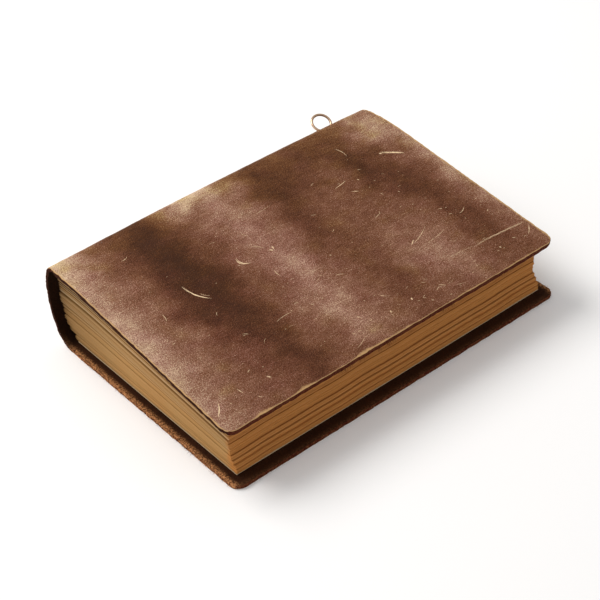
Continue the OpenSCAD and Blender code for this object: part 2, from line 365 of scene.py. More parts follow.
class Section:
    """The wrap's section, from the same sizes and by the same steps as the frame's solids."""

    def __init__(self, wrap):
        self.leather = wrap.thickness / MM
        self.crown = wrap.crown_height / MM
        self.drop, self.reach = wrap.crown_drop / MM, wrap.crown_reach / MM
        self.bend, self.foot = wrap.bend_radius / MM, wrap.foot_radius / MM
        bulge = wrap.bulge_angle
        fore = wrap.fore_height / MM
        # The hinge lies straight outside the fold, so the fold's place follows from the heading.
        rise = 2 * self.drop / self.reach
        self.fold = FRONT_HINGE[0]
        for _ in range(4):
            self.tilt = (self.crown + self.drop - fore) / (FRONT_HIGH[0] - self.fold)
            self.fold_heading = math.pi + math.atan(rise - self.tilt)
            lift = FRONT_HINGE[2] - self.crown
            self.fold = FRONT_HINGE[0] + lift * math.tan(self.fold_heading - math.pi)
        self.bend_centre = np.array([self.fold, self.crown]) - self.bend * heading_out(self.fold_heading)
        bend_end = self.bend_centre + self.bend * np.array([-math.cos(bulge), math.sin(bulge)])
        span = bend_end[1] - self.foot * (1 - math.sin(bulge))
        self.bulge = span / (2 * math.sin(bulge))
        self.bulge_centre = bend_end + self.bulge * np.array([math.cos(bulge), -math.sin(bulge)])
        foot_x = self.bulge_centre[0] - (self.bulge - self.foot) * math.cos(bulge)
        self.foot_centre = np.array([foot_x, self.foot])
        self.bulge_angle = bulge
        cover_x = np.linspace(FRONT_HIGH[0], self.fold, 700)[:-1]
        cover = np.stack([cover_x, self.cover_z(cover_x)], 1)
        low, high = 1.5 * math.pi - bulge, 1.5 * math.pi + bulge
        bend = arc(self.bend_centre, self.bend, self.fold_heading, low)
        belly = arc(self.bulge_centre, self.bulge, low, high)[1:]
        foot = arc(self.foot_centre, self.foot, high, 2 * math.pi)[1:]
        floor_x = np.linspace(foot_x, BACK_HIGH[0], 500)[1:]
        floor = np.stack([floor_x, np.zeros_like(floor_x)], 1)
        self.line = Line(np.concatenate([cover, bend, belly, foot, floor]))
        ends = np.cumsum([len(cover), len(bend), len(belly), len(foot), len(floor)])
        marks = self.line.along[ends - 1]
        self.at_fold = self.line.along[len(cover)]
        self.at_low = marks[1]
        self.at_middle = (marks[1] + marks[2]) / 2
        self.at_high = marks[2]
        self.at_foot = marks[3]
        self.at_end = self.line.along[-1]

    def cover_z(self, x):
        """Height of the front cover's grain side: a straight slope less a dip towards the fold."""
        u = x - self.fold
        dip = self.drop * np.maximum(0, 1 - u / self.reach) ** 2
        return self.crown + self.drop - self.tilt * u - dip

    def spine_x(self, z, outside):
        """X of the skin this far outside the grain side of the spine, at height z."""
        half = (self.bulge + outside) * math.sin(self.bulge_angle)
        top, foot = self.bend + outside, self.foot + outside
        belly = self.bulge + outside
        on_top = self.bend_centre[0] - np.sqrt(np.maximum(0, top**2 - (z - self.bend_centre[1]) ** 2))
        on_foot = self.foot_centre[0] - np.sqrt(np.maximum(0, foot**2 - (z - self.foot) ** 2))
        rest = belly**2 - (z - self.bulge_centre[1]) ** 2
        on_belly = self.bulge_centre[0] - np.sqrt(np.maximum(0, rest))
        above, below = z > self.bulge_centre[1] + half, z < self.bulge_centre[1] - half
        return np.where(above, on_top, np.where(below, on_foot, on_belly))


class Block:
    """Heights and reaches of the paper, by the same steps as the frame's solids."""

    fore_turn, tail_turn, head_turn = (math.radians(a) for a in (137, 97, 61))

    def __init__(self, section, paper):
        self.section = section
        self.count = paper.signatures
        self.low_count = paper.low_count
        self.gap = paper.play / MM
        self.fold = paper.fold / MM
        self.setback = paper.setback / MM
        self.spine_play = paper.spine_play / MM
        self.ragged = paper.ragged / MM
        self.low_reach = paper.low_reach / MM
        self.cover = section.leather + self.gap + (paper.sheet + paper.sheet_play) / MM
        self.near = SPINE_LOW[0] + section.leather + self.spine_play
        low_end = self.ragged * math.sin(self.fore_turn)
        self.reach = PAPER_HIGH[0] - self.low_reach - low_end

    def height(self, x, count):
        """Height of the leaf that lies on this many signatures, at x."""
        top = self.section.cover_z(x) - self.cover
        return self.cover + (top - self.cover) * count / self.count

    def fold_tip(self, i):
        """X of a signature's fold: its middle and both shoulders stay clear of the spine."""
        inside = -self.section.leather
        low = self.height(self.near, i) - self.gap
        high = self.height(self.near, i + 1) + self.gap
        middle = self.section.spine_x(self.height(self.near, i + 0.5), inside)
        low_x = self.section.spine_x(low, inside) - self.fold
        high_x = self.section.spine_x(high, inside) - self.fold
        tip = np.maximum(middle, np.maximum(low_x, high_x)) + self.spine_play
        return tip + self.setback * (i == self.count - 1)

    def fore_end(self, i):
        """X at which a signature ends at the fore edge."""
        low = self.low_reach * (i < self.low_count)
        return self.reach + low + self.ragged * np.sin(i * self.fore_turn)


# Materials


class Value:
    """A socket with arithmetic: each operation adds a Math node to the same material."""

    def __init__(self, shader, socket):
        self.shader = shader
        self.socket = socket

    def math(self, operation, *others, swap=False):
        """One Math node on this value and the others, swapped for the reflected forms."""
        values = [self, *others]
        if swap:
            values.reverse()
        return self.shader.node("Math", {"operation": operation}, dict(enumerate(values)))

    def __add__(self, other):
        return self.math("ADD", other)

    __radd__ = __add__

    def __mul__(self, other):
        return self.math("MULTIPLY", other)

    __rmul__ = __mul__

    def __sub__(self, other):
        return self.math("SUBTRACT", other)

    def __rsub__(self, other):
        return self.math("SUBTRACT", other, swap=True)

    def above(self, low, high):
        """0 below low, 1 above high and a smooth step between them; high may be the lower one."""
        settings = {"interpolation_type": "SMOOTHSTEP", "clamp": True}
        return self.shader.node("MapRange", settings, {0: self, 1: low, 2: high})


class Shader:
    """A material under construction, with one method for any node."""

    def __init__(self, name, **constants):
        self.material = bpy.data.materials.new(name)
        self.material.use_nodes = True
        self.tree = self.material.node_tree
        self.surface = self.tree.nodes["Principled BSDF"]
        for socket, value in constants.items():
            self.surface.inputs[socket.replace("_", " ")].default_value = value

    def node(self, kind, settings=None, inputs=None, output=0):
        """Adds a node of a kind, sets it up, fills its sockets and returns one of its outputs."""
        made = self.tree.nodes.new("ShaderNode" + kind)
        for key, value in (settings or {}).items():
            if key == "stops":
                ramp = made.color_ramp
                while len(ramp.elements) < len(value):
                    ramp.elements.new(0.5)
                for element, (position, shade) in zip(ramp.elements, value):
                    element.position = position
                    element.color = (*shade, 1)
            else:
                setattr(made, key, value)
        for key, value in (inputs or {}).items():
            self.fill(made.inputs[key], value)
        return Value(self, made.outputs[output])

    def fill(self, socket, value):
        """Links a value to a socket, or sets the socket to a number or a colour."""
        if isinstance(value, Value):
            self.tree.links.new(value.socket, socket)
        elif isinstance(value, (int, float)):
            socket.default_value = value
        else:
            value = tuple(value)
            wide = len(socket.default_value) == 4
            socket.default_value = (*value[:3], 1) if wide else value[:3]

    def attribute(self, name, vector=False):
        """A stored attribute, as a number or as a vector."""
        return self.node("Attribute", {"attribute_name": name}, output=1 if vector else 2)

    def place(self):
        """Place on the piece, in metres."""
        return self.node("TexCoord", output=3)

    def scaled(self, vector, scale):
        """A vector times a vector of numbers."""
        return self.node("VectorMath", {"operation": "MULTIPLY"}, {0: vector, 1: scale})

    def noise(self, vector, scale, detail=2.0, rough=0.5, warp=0.0):
        """Soft noise between 0 and 1 at a vector."""
        inputs = {"Vector": vector, "Scale": scale, "Detail": detail, "Roughness": rough}
        inputs["Distortion"] = warp
        return self.node("TexNoise", None, inputs)

    def bands(self, along, scale, detail=2.0, rough=0.5):
        """Soft noise between 0 and 1 along one number."""
        inputs = {"W": along, "Scale": scale, "Detail": detail, "Roughness": rough}
        return self.node("TexNoise", {"noise_dimensions": "1D"}, inputs)

    def cells(self, vector, scale):
        """Distance to the nearest border between scattered cells."""
        settings = {"feature": "DISTANCE_TO_EDGE"}
        return self.node("TexVoronoi", settings, {"Vector": vector, "Scale": scale})

    def mix(self, amount, first, second, blend="MIX"):
        """One colour laid over another by an amount."""
        settings = {"data_type": "RGBA", "blend_type": blend, "clamp_factor": True}
        return self.node("Mix", settings, {0: amount, 6: first, 7: second}, output=2)

    def bump(self, height, distance, strength=1.0):
        """Turns a height into a normal."""
        inputs = {"Height": height, "Distance": distance, "Strength": strength}
        return self.node("Bump", None, inputs)

    def set(self, **links):
        """Links values to the surface's sockets and returns the finished material."""
        for socket, value in links.items():
            self.fill(self.surface.inputs[socket.replace("_", " ")], value)
        return self.material


def grain_leather(shades):
    """Oiled pull-up leather: cloudy browns and painted light and shade by the stored tone, fine pebbled
    grain and hair marks.
    """
    s = Shader("Oiled leather, grain side", Specular_IOR_Level=0.16)
    hide = s.attribute("hide", vector=True)
    drift = s.noise(hide, 60, 3, 0.55)
    cloud = s.noise(hide, 160, 4, 0.6, 0.6)
    streak = s.noise(s.scaled(hide, (1, 0.22, 1)), 750, 3, 0.65)
    mottle = s.noise(hide, 1250, 2, 0.8)
    pebble = s.cells(hide, 1350).above(-0.05, 0.4)
    flecks = s.noise(hide, 2600, 2, 0.6)
    tone = s.attribute("bloom") + (drift - 0.5) * 0.1 + (cloud - 0.5) * 0.1
    tone = tone + (streak - 0.5) * 0.4 + (mottle - 0.5) * 0.85 + (pebble - 0.6) * 0.2
    tone = tone + (flecks - 0.5) * 1.3
    ramp = [
        (0.0, shades.grain_dark),
        (0.25, shades.grain_deep),
        (0.5, shades.grain_middle),
        (0.72, shades.grain_light),
        (1.0, shades.grain_pale),
    ]
    base = s.node("ValToRGB", {"stops": ramp}, {0: tone})
    cast = s.attribute("cast") + (s.noise(hide, 65, 4, 0.65, 0.5) - 0.5) * 1.8
    base = s.mix(cast.above(-0.05, 0.8), base, shades.plum, "MULTIPLY")
    base = s.mix(cast.above(0.05, -0.8), base, shades.olive, "MULTIPLY")
    # Pale flecks: painted glints on the grain.
    base = s.mix(flecks.above(0.62, 0.8) * 0.3, base, shades.grain_pale)
    rim = s.attribute("rim") + (s.noise(hide, 420, 3, 0.75) - 0.5) * 0.8
    base = s.mix(rim.above(0.55, 0.1) * 0.9, base, shades.rubbed)
    # Painted shade in the slits, inside the spine and along the front cover's tail edge.
    base = s.mix(s.attribute("soot"), base, (0.012, 0.006, 0.003))
    gloss = 0.6 - (cloud - 0.5) * 0.2 + (1 - pebble) * 0.15 + (flecks - 0.5) * 0.1
    wrinkle = s.noise(s.scaled(hide, (1, 0.5, 1)), 260, 4, 0.6, 0.8)
    height = pebble * 0.9 + flecks * 0.5 + mottle * 1.0 + wrinkle * 1.2 + streak * 0.7
    return s.set(Base_Color=base, Roughness=gloss, Normal=s.bump(height, 0.0003, 0.9))


def suede_leather(shades):
    """Flesh side: dark brushed nap with lighter tufts, palest along the cut border."""
    s = Shader("Leather, flesh side", Roughness=0.95, Specular_IOR_Level=0.05)
    hide = s.attribute("hide", vector=True)
    nap = s.noise(hide, 1300, 4, 0.75)
    cloud = s.noise(hide, 90, 3, 0.6)
    base = s.mix(nap.above(0.35, 0.75) * 0.6 + (cloud - 0.45) * 0.6, shades.flesh, shades.flesh_light)
    tuft = s.noise(hide, 1000, 3, 0.8)
    border = (s.attribute("border") + (nap - 0.5) * 5).above(3.4, 0.4) * s.attribute("fuzz")
    base = s.mix(border * (tuft.above(0.42, 0.58) * 0.8 + 0.12), base, shades.cut_fuzz)
    # Painted shade in the slits, inside the spine and along the front cover's tail edge.
    base = s.mix(s.attribute("soot"), base, (0.008, 0.004, 0.002))
    return s.set(Base_Color=base, Normal=s.bump(nap + cloud * 0.6, 0.0006, 1.0))


def cut_leather(shades):
    """Raw cut edge: packed fibres, dark where they are sealed and tan where they are loose."""
    s = Shader("Leather, cut edge", Roughness=0.9, Specular_IOR_Level=0.1)
    hide = s.attribute("hide", vector=True)
    fibre = s.noise(hide, 850, 4, 0.8)
    patch = s.noise(hide, 240, 3, 0.6)
    loose = s.attribute("fuzz")
    amount = fibre.above(0.43, 0.59) * (0.03 + loose * 0.95) + (patch - 0.5) * 0.12
    base = s.mix(amount, shades.cut, shades.cut_fuzz)
    rim = s.attribute("rim") + (patch - 0.5) * 0.5
    base = s.mix(rim.above(0.2, 0.05) * 0.8, base, shades.rubbed)
    # Painted shade in the slits, inside the spine and along the front cover's tail edge.
    base = s.mix(s.attribute("soot"), base, (0.008, 0.004, 0.002))
    return s.set(Base_Color=base, Normal=s.bump(fibre + patch, 0.0006, 1.0))


def scraped_leather(shades):
    """Bared hide in a scratch: pale, dry and uneven."""
    s = Shader("Leather, scraped", Roughness=0.8, Specular_IOR_Level=0.2)
    place = s.place()
    patch = s.noise(place, 1400, 3, 0.7)
    return s.set(Base_Color=s.mix(patch.above(0.2, 0.5), shades.grain_light, shades.scratch))


def kraft_paper(shades):
    """Leaves seen on edge: a line for each leaf, painted shade in the grooves between signatures,
    by the folds and towards the spine, and a fore edge that is partly aged and partly painted bounce
    light.
    """
    s = Shader("Kraft paper", Roughness=0.92, Specular_IOR_Level=0.12)
    place = s.place()
    leaf = s.attribute("leaf")
    lines = s.bands(leaf, 4.5, 4.0, 0.7)
    fine = s.bands(leaf, 15.0)
    fan = s.bands(leaf, 2.7)
    fleck = s.noise(place, 1900, 3, 0.7)
    blush = s.noise(place, 40, 3, 0.6)
    # Oranger towards the fore edge: partly an aged edge, partly painted bounce light from the leather.
    base = s.mix(s.attribute("handled"), shades.paper, shades.paper_shade)
    base = s.mix((blush - 0.5) * 0.5 + 0.1, base, shades.paper_shade)
    base = s.mix((lines - 0.54) * 1.7 + (fine - 0.5) * 0.6, base, shades.paper_gap)
    base = s.mix((0.45 - lines) * 1.2, base, shades.sheet)
    spread = (fan - 0.5) * s.attribute("fanned") * 6
    base = s.mix(spread, base, shades.paper_gap)
    base = s.mix(spread * -0.7, base, shades.sheet)
    base = s.mix(fleck.above(0.6, 0.85) * 0.2, base, shades.paper_gap)
    # Painted shade in the grooves between signatures.
    base = s.mix(s.attribute("gap") * 0.5, base, shades.paper_gap)
    # Painted shade by the folds and towards the spine.
    base = s.mix(s.attribute("soot"), base, (0.03, 0.009, 0.002))
    return s.set(Base_Color=base, Normal=s.bump(fleck + fine, 0.00012, 0.6))


def pale_paper(shades):
    """Pale endpaper with short fibres."""
    s = Shader("Endpaper", Roughness=0.9, Specular_IOR_Level=0.15)
    place = s.place()
    fibre = s.noise(s.scaled(place, (1, 0.3, 1)), 1800, 4, 0.7)
    base = s.mix(fibre.above(0.5, 0.75) * 0.5, shades.sheet, shades.paper)
    return s.set(Base_Color=base, Normal=s.bump(fibre, 0.0001, 0.5))


def waxed_linen(shades):
    """Waxed thread: warm off-white, with painted shade in the turns of its plies."""
    s = Shader("Waxed thread", Roughness=0.5, Specular_IOR_Level=0.4)
    place = s.place()
    fibre = s.noise(place, 5200, 3, 0.7)
    ply = s.attribute("ply")
    # Painted shade in the grooves between the plies.
    base = s.mix((1 - ply) * 0.55 + (fibre - 0.5) * 0.5, shades.thread, shades.paper_gap)
    return s.set(Base_Color=base, Normal=s.bump(fibre, 0.00008, 0.7))


def brass_wire(shades):
    """Pale brass wire with a dull film in patches and a painted dark reflection on the ring's inner
    side.
    """
    s = Shader("Pale brass wire", Metallic=1.0)
    place = s.place()
    film = s.noise(place, 700, 4, 0.65)
    base = s.mix(film.above(0.45, 0.75) * 0.5, shades.wire, shades.rubbed)
    base = s.mix(s.attribute("grime") * 0.8, base, shades.grain_deep)
    return s.set(Base_Color=base, Roughness=film * 0.3 + 0.16, Normal=s.bump(film, 0.00003, 0.4))


def studio_floor(shades):
    """Plain matt floor that shows as the backdrop's white."""
    s = Shader("Studio floor", Roughness=0.95, Specular_IOR_Level=0.0)
    return s.set(Base_Color=tuple(shades.floor))


# The leather wrap

# Clouds on the wrap: distance from the front fold, distance from the tail, spread each way and
# how much lighter, all but the last in millimetres. Along with the oil's own mottling, they paint the
# bands of dappled light and shade across the cover, and the light ones at nought from the fold
# paint a sheen along it.
CLOUDS = (
    (68, -4, 110, 18, 0.38),
    (0, 4, 14, 18, 0.26),
    (24, 47, 36, 15, -0.36),
    (75, 51, 36, 14, -0.3),
    (125, 57, 26, 9, -0.2),
    (70, 36, 20, 6, -0.11),
    (0, 80, 14, 20, 0.3),
    (0, 94, 8, 22, 0.14),
    (0, 48, 8, 8, -0.1),
    (52, 66, 16, 5, -0.05),
    (6, 30, 8, 7, -0.08),
    (60, 48, 70, 9, -0.03),
    (80, 19, 60, 9, 0.035),
    (18, 95, 18, 10, 0.08),
    (80, 93, 16, 7, 0.15),
    (50, 90, 40, 14, 0.2),
    (106, 84, 16, 13, 0.16),
    (120, 94, 20, 10, 0.19),
    (44, 116, 24, 9, -0.23),
    (105, 124, 36, 7, -0.12),
    (8, 122, 12, 14, -0.23),
    (26, 130, 12, 12, -0.19),
    (58, 150, 12, 10, -0.02),
    (104, 150, 18, 14, 0.22),
    (126, 160, 12, 12, 0.08),
    (10, 150, 14, 12, -0.17),
    (36, 166, 22, 9, -0.31),
    (60, 177, 20, 7, -0.19),
    (10, 191, 22, 9, 0.31),
    (96, 182, 34, 7, -0.17),
    (60, 204, 60, 8, 0.28),
)
# Casts of colour in the same terms: above nought towards plum, below towards olive.
CASTS = (
    (60, 90, 60, 16, 0.7),
    (60, 4, 90, 12, 0.25),
    (112, 152, 22, 16, 0.3),
    (74, 34, 50, 10, 0.3),
    (6, 122, 26, 22, -0.8),
    (12, 166, 30, 14, -0.7),
    (30, 52, 40, 10, -0.6),
    (118, 62, 26, 8, -0.15),
    (112, 42, 34, 12, 0.45),
    (5, 44, 15, 16, -0.6),
    (72, 122, 34, 8, -0.25),
)
# Where the fore edge of the front cover is rubbed: distance from the tail, spread and how much
# further the rubbing reaches in from the edge.
EDGE_WEAR = (
    (21, 4.5, 4.0),
    (44, 4.5, 3.0),
    (80, 5.0, 3.5),
    (91, 4.0, 2.0),
    (104, 5.0, 1.2),
    (146, 8.0, 0.8),
    (181, 10.0, 0.8),
)
BASE_TONE = 0.507


def tone_and_painted_light_at(x, y):
    """Lightness and cast of the oiled leather: a level plus soft clouds whose borders waver, some of
    them painted light and shade, and a painted highlight along the bend.
    """
    wx = x + 3 * ripples(x, y, 26, 11)
    wy = y + 2 * ripples(x, y, 30, 12)
    bloom = BASE_TONE + 0.02 * ripples(x, y, 14, 13) + 0.015 * ripples(x, y, 6, 14)
    cast = 0.15 * ripples(x, y, 18, 15)
    for total, clouds in ((bloom, CLOUDS), (cast, CASTS)):
        for cx, cy, sx, sy, lift in clouds:
            total += lift * np.exp(-(((wx - cx) / sx) ** 2) - ((wy - cy) / sy) ** 2)
    # A painted highlight along the bend at the top, which also turns the cast towards olive there.
    on_bend = np.exp(-(((x + 6.5) / 4) ** 2))
    bloom += 0.1 * on_bend + 0.09 * ripples(x, y, 75, 16) * ease((-x - 12) / 25)
    beside = np.exp(-(((x - 2) / 7) ** 2))
    return bloom, cast - 0.12 * on_bend - 0.28 * beside


def round_border(inset_u, inset_v, depth, thickness, arris):
    """Rounds the arris between a face and a cut edge: beyond the arris lines both distances are
    scaled back onto a quarter circle. Insets are distances from the outline, depth is from the
    grain side. Returns the new insets and depth."""
    over_plan = arris - np.minimum(inset_u, inset_v)
    middle = thickness / 2
    over_depth = np.abs(depth - middle) - (middle - arris)
    corner = (over_plan > 0) & (over_depth > 0)
    scale = np.where(corner, arris / np.maximum(np.hypot(over_plan, over_depth), 1e-9), 1)
    moved = np.where(corner, arris - over_plan * scale, -1e9)
    inset_u, inset_v = np.maximum(inset_u, moved), np.maximum(inset_v, moved)
    new_depth = middle + np.sign(depth - middle) * (middle - arris + over_depth * scale)
    return inset_u, inset_v, np.where(corner, new_depth, depth)


def round_corner(inset_u, inset_v, radius):
    """Bends the square corner of a plan onto a quarter circle: each square ring around the
    corner's inner point becomes an arc of the same reach."""
    a, b = 1 - inset_u / radius, 1 - inset_v / radius
    inside = (a > 0) & (b > 0)
    reach = np.maximum(np.maximum(a, b), 1e-9)
    share = math.pi / 4 * np.minimum(a, b) / reach
    turn = np.where(a >= b, share, math.pi / 2 - share)
    new_u = radius * (1 - reach * np.cos(turn))
    new_v = radius * (1 - reach * np.sin(turn))
    return np.where(inside, new_u, inset_u), np.where(inside, new_v, inset_v)


def slit_rows(sewing):
    """Y of the four rows of sewing slits, at the ends of the long stitches."""
    outer = FRONT_HIGH[1] - sewing.inset / MM
    inner = outer - sewing.stitch / MM
    return np.array([-outer, -inner, inner, outer])


def slit_depth(sewing, along_z, y):
    """How deep the sewing slits cut, from 0 to 1: a narrow trough at each slit's y, over its z."""
    half = sewing.slit / MM / 2
    nearest = np.min([np.abs(y - row) for row in slit_rows(sewing)], axis=0)
    across = 1 - ease((nearest - half * 0.55) / (half * 0.6))
    return across * along_z


def leather_lift(section, wrap, u, y):
    """How far the swaying leather lies outside its section line: slow waves that die out towards
    the middle of the spine, and a fine unevenness."""
    still = ease(np.abs(u - section.at_middle) / 20)
    slow = 0.6 * ripples(u, y, 60, 31) + 0.28 * ripples(u, y, 17, 32)
    return 0.6 * (wrap.sway / MM * slow * still + 0.035 * ripples(u, y, 4.5, 33))


def leather_sheet(name, settings, section, start, end, free_start, along):
    """One half of the wrap as a closed sheet: a block of lattice points whose first index runs
    along the section line, the second along Y and the third through the leather. The arrises and
    the free corners are rounded, the cut edges nibbled, and the whole sheet sways gently. The end
    at the middle of the spine stays open, where the other half goes on."""
    wrap, sewing = settings.wrap, settings.sewing
    thickness, arris = section.leather, wrap.arris / MM
    half = FRONT_HIGH[1]
    around = np.array([-1.1, -0.75, -0.5, -0.3, 0, 0.3, 0.5, 0.75, 1.1]) * sewing.slit / MM
    border = half - EDGE_STEPS[:10]
    v = [spaced((-border[-1], border[-1], 1.45)), border, -border]
    v = np.unique(np.round(np.concatenate(v + [row + around for row in slit_rows(sewing)]), 4))
    w = np.array([0, 0.1, 0.22, arris, 0.75, 1.1, 1.5, thickness - arris, thickness - 0.22,
                  thickness - 0.1, thickness])
    (i, j, k), quads, side = box_skin(len(along), len(v), len(w))
    outer = side != (1 if free_start else 0)
    quads, side = quads[outer], side[outer]
    u, y, depth = along[i], v[j], w[k]
    edge = start if free_start else end
    inset_u = np.abs(u - edge)
    inset_v = half - np.abs(y)
    raw_u, raw_v, raw_depth = inset_u, inset_v, depth
    inset_u, inset_v, depth = round_border(inset_u, inset_v, depth, thickness, arris)
    frayed = wrap.nibble / MM
    notch_v = frayed * np.abs(ripples(u, depth * 2, 3.4, 21)) + frayed * 0.5 * ripples(u, depth, 9, 22)
    notch_u = frayed * np.abs(ripples(y, depth * 2, 3.4, 23)) + frayed * 0.5 * ripples(y, depth, 9, 24)
    inset_v = inset_v + notch_v * np.exp(-raw_v / 0.9)
    inset_u = inset_u + notch_u * np.exp(-raw_u / 0.9)
    inset_u, inset_v = round_corner(inset_u, inset_v, wrap.corner / MM)
    if free_start:
        burr = np.maximum(0.7 * np.exp(-raw_u / 0.7), 0.4 * np.exp(-raw_v / 0.7) * ease(u / 12))
        depth = depth + burr * (raw_depth / thickness) ** 3 * (u < section.at_fold - 3)
    worn = wrap.cap / MM * np.exp(-(((u - section.at_fold - 4) / 5) ** 2)) * (0.7 + 0.3 * np.sign(y))
    inset_v = inset_v + worn * np.exp(-raw_v / 8)
    u = edge + (inset_u if free_start else -inset_u)
    y = np.sign(y) * (half - inset_v)
    bend_share = ease((u - section.at_fold + 14) / 14) * ease((section.at_low + 4 - u) / 7)
    x, z = section.line.place(u, 0)
    on_spine = ease((z - 3.4) / 0.8) * ease((45.2 - z) / 0.8)
    on_spine = on_spine * (u > section.at_fold) * (u < section.at_foot)
    slit = slit_depth(sewing, on_spine, y)
    sunk = slit * sewing.slit_depth / MM * (raw_depth < thickness * 0.5)
    bow = wrap.bow / MM * (1 - (y / half) ** 2) * bend_share
    x, z = section.line.place(u, leather_lift(section, wrap, u, y) + bow - depth - sunk)
    z = np.maximum(z, 0)
    points = np.stack([x, y, z], 1)
    shades = settings.colours
    materials = [grain_leather(shades), suede_leather(shades), cut_leather(shades)]
    piece = new_piece(name, points, quads, materials)
    cut_sides = (side == (0 if free_start else 1)) | (side == 2) | (side == 3)
    set_materials(piece, np.where(side == 5, 1, np.where(cut_sides, 2, 0)))
    mark_wear_and_painted_light(piece, section, u, y, (raw_u, raw_v, raw_depth), slit, free_start)
    return piece


def mark_wear_and_painted_light(piece, section, u, y, raw, slit, front):
    """Stores what the leather's finish depends on: the place on the flat hide, its tone with painted
    light and shade, how near the rubbed rims and the loose border are, and the painted shade in the
    sewing slits, inside the spine and along the front cover's tail edge."""
    raw_u, raw_v, raw_depth = raw
    x, y_tail = section.at_fold - u, y - FRONT_LOW[1]
    set_attribute(piece, "hide", np.stack([x, y_tail, raw_depth], 1) * MM)
    bloom, cast = tone_and_painted_light_at(x, y_tail)
    set_attribute(piece, "bloom", bloom)
    set_attribute(piece, "cast", cast)
    rim = np.minimum(raw_u, raw_v) + np.maximum(raw_depth - 0.1, 0) * 1.5
    worn = np.ones(len(y))
    for at, spread, reach in EDGE_WEAR:
        worn += reach * np.exp(-(((y_tail - at) / spread) ** 2)) * (raw_depth < 0.05)
    if front:
        rim = np.where(raw_u < raw_v, rim / worn, rim / np.where(y > 0, 3, 1.7))
    set_attribute(piece, "rim", np.minimum(rim, 5))
    set_attribute(piece, "border", np.minimum(raw_u, raw_v) + (u < section.at_high) * 9)
    at_side = ease((raw_u - raw_v) / 6 + 0.5)
    loose = ease((u - section.at_high) / 20)
    set_attribute(piece, "fuzz", 0.06 + 0.94 * loose * (0.06 + 0.94 * at_side))
    on_back = ease((u - section.at_fold) / 6) * ease((section.at_foot + 4 - u) / 8)
    # Painted shade inside the spine.
    dim = on_back * ease((raw_depth - 0.3) / 0.5) * 0.62
    # Painted shade along the lower part of the front cover's tail edge, over the pages.
    under = 0.6 * (y < 0) * (u < section.at_fold) * (raw_v < 0.05) * ease((raw_depth - 0.3) / 0.3)
    # Painted shade in the sewing slits, taken with the two above.
    soot = np.maximum(slit * (raw_depth < 1.2) * 0.9, np.maximum(dim, under))
    set_attribute(piece, "soot", soot)


class JOURNAL_OT_leather(bpy.types.Operator):
    """Makes the two halves of the leather wrap, which meet in the middle of the spine"""

    bl_idname = "journal.leather"
    bl_label = "Leather wrap"

    def execute(self, context):
        settings = context.scene.journal
        section = Section(settings.wrap)
        fold, low, middle = section.at_fold, section.at_low, section.at_middle
        border = EDGE_STEPS[-1]
        front = [EDGE_STEPS, spaced((border, fold - 16, 1.5), (fold - 16, fold, 0.9),
                                    (fold, low, 0.55), (low, middle, 1.3))]
        front = leather_sheet("leather_front", settings, section, 0, middle, True,
                              np.unique(np.round(np.concatenate(front), 5)))
        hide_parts("front_cover", "spine")
        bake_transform(front)
        high, foot, end = section.at_high, section.at_foot, section.at_end
        back = [spaced((middle, high, 1.3), (high, foot, 0.8), (foot, end - border, 1.5)),
                end - EDGE_STEPS]
        back = leather_sheet("leather_back", settings, section, middle, end, False,
                             np.unique(np.round(np.concatenate(back), 5)))
        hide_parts("back_cover", "spine")
        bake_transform(back)
        return {"FINISHED"}


# Scuffs and fibres

# Scratches on the front cover: start and end as distance from the fold and from the tail, the bow
# of the stroke, its width and the number of hairs side by side, in millimetres.
SCRATCHES = (
    (51.5, 40.6, 66.4, 46.5, -1.6, 0.42, 2),
    (60.3, 44.3, 64.5, 47.3, -0.5, 0.3, 1),
    (51.8, 72.2, 58.6, 75.8, -1.7, 0.42, 2),
    (53.4, 71.6, 57.8, 74.6, -1.2, 0.3, 1),
    (50.0, 83.6, 54.0, 87.6, 0.3, 0.28, 1),
    (69.4, 81.8, 74.8, 81.6, -0.4, 0.3, 1),
    (55.8, 91.4, 57.9, 91.0, 0.1, 0.85, 1),
    (57.0, 88.6, 58.6, 90.2, 0.1, 0.8, 1),
    (121.6, 8.4, 128.0, 3.4, 0.5, 0.4, 2),
    (121.9, 35.1, 123.6, 36.4, 0, 0.7, 1),
    (125.0, 119.8, 126.6, 119.3, 0, 0.8, 1),
    (125.2, 106.3, 126.6, 106.0, 0, 0.75, 1),
    (34.6, 181.5, 42.3, 190.8, 0.3, 0.5, 3),
    (34.3, 180.4, 35.6, 181.0, 0, 0.7, 1),
    (40.5, 151.8, 41.8, 143.8, 0.2, 0.42, 1),
    (17.0, 164.9, 25.6, 165.6, 0.8, 0.34, 1),
    (48.6, 148.8, 50.8, 152.0, 0, 0.42, 1),
    (43.2, 157.2, 44.2, 158.0, 0, 0.5, 1),
    (63.2, 167.4, 64.0, 167.9, 0, 0.6, 1),
    (117.4, 170.0, 119.8, 200.0, 0.4, 0.26, 2),
    (115.6, 152.0, 117.0, 168.0, 0.3, 0.18, 1),
    (123.0, 200.4, 127.6, 195.6, 0.3, 0.4, 1),
    (124.6, 187.4, 125.4, 188.8, 0, 0.6, 1),
    (125.4, 177.6, 126.4, 178.2, 0, 0.6, 1),
    (126.6, 136.0, 129.4, 138.6, 0.1, 0.45, 1),
    (130.4, 86.4, 134.2, 78.2, 0.4, 0.22, 1),
    (60.6, 22.0, 65.6, 21.0, 0.4, 0.3, 1),
    (91.0, 160.4, 97.6, 146.0, 0.8, 0.26, 1),
    (99.0, 166.0, 101.4, 152.0, 0.5, 0.22, 1),
    (95.4, 148.4, 97.4, 145.4, 0.1, 0.6, 1),
    (98.0, 60.0, 97.2, 71.0, 0.6, 0.22, 1),
    (3.4, 135.4, 9.6, 129.6, 0.5, 0.34, 1),
    (30.6, 112.0, 31.6, 99.0, 0.6, 0.16, 1),
    (119.6, 20.0, 123.4, 20.6, 0, 0.4, 1),
)


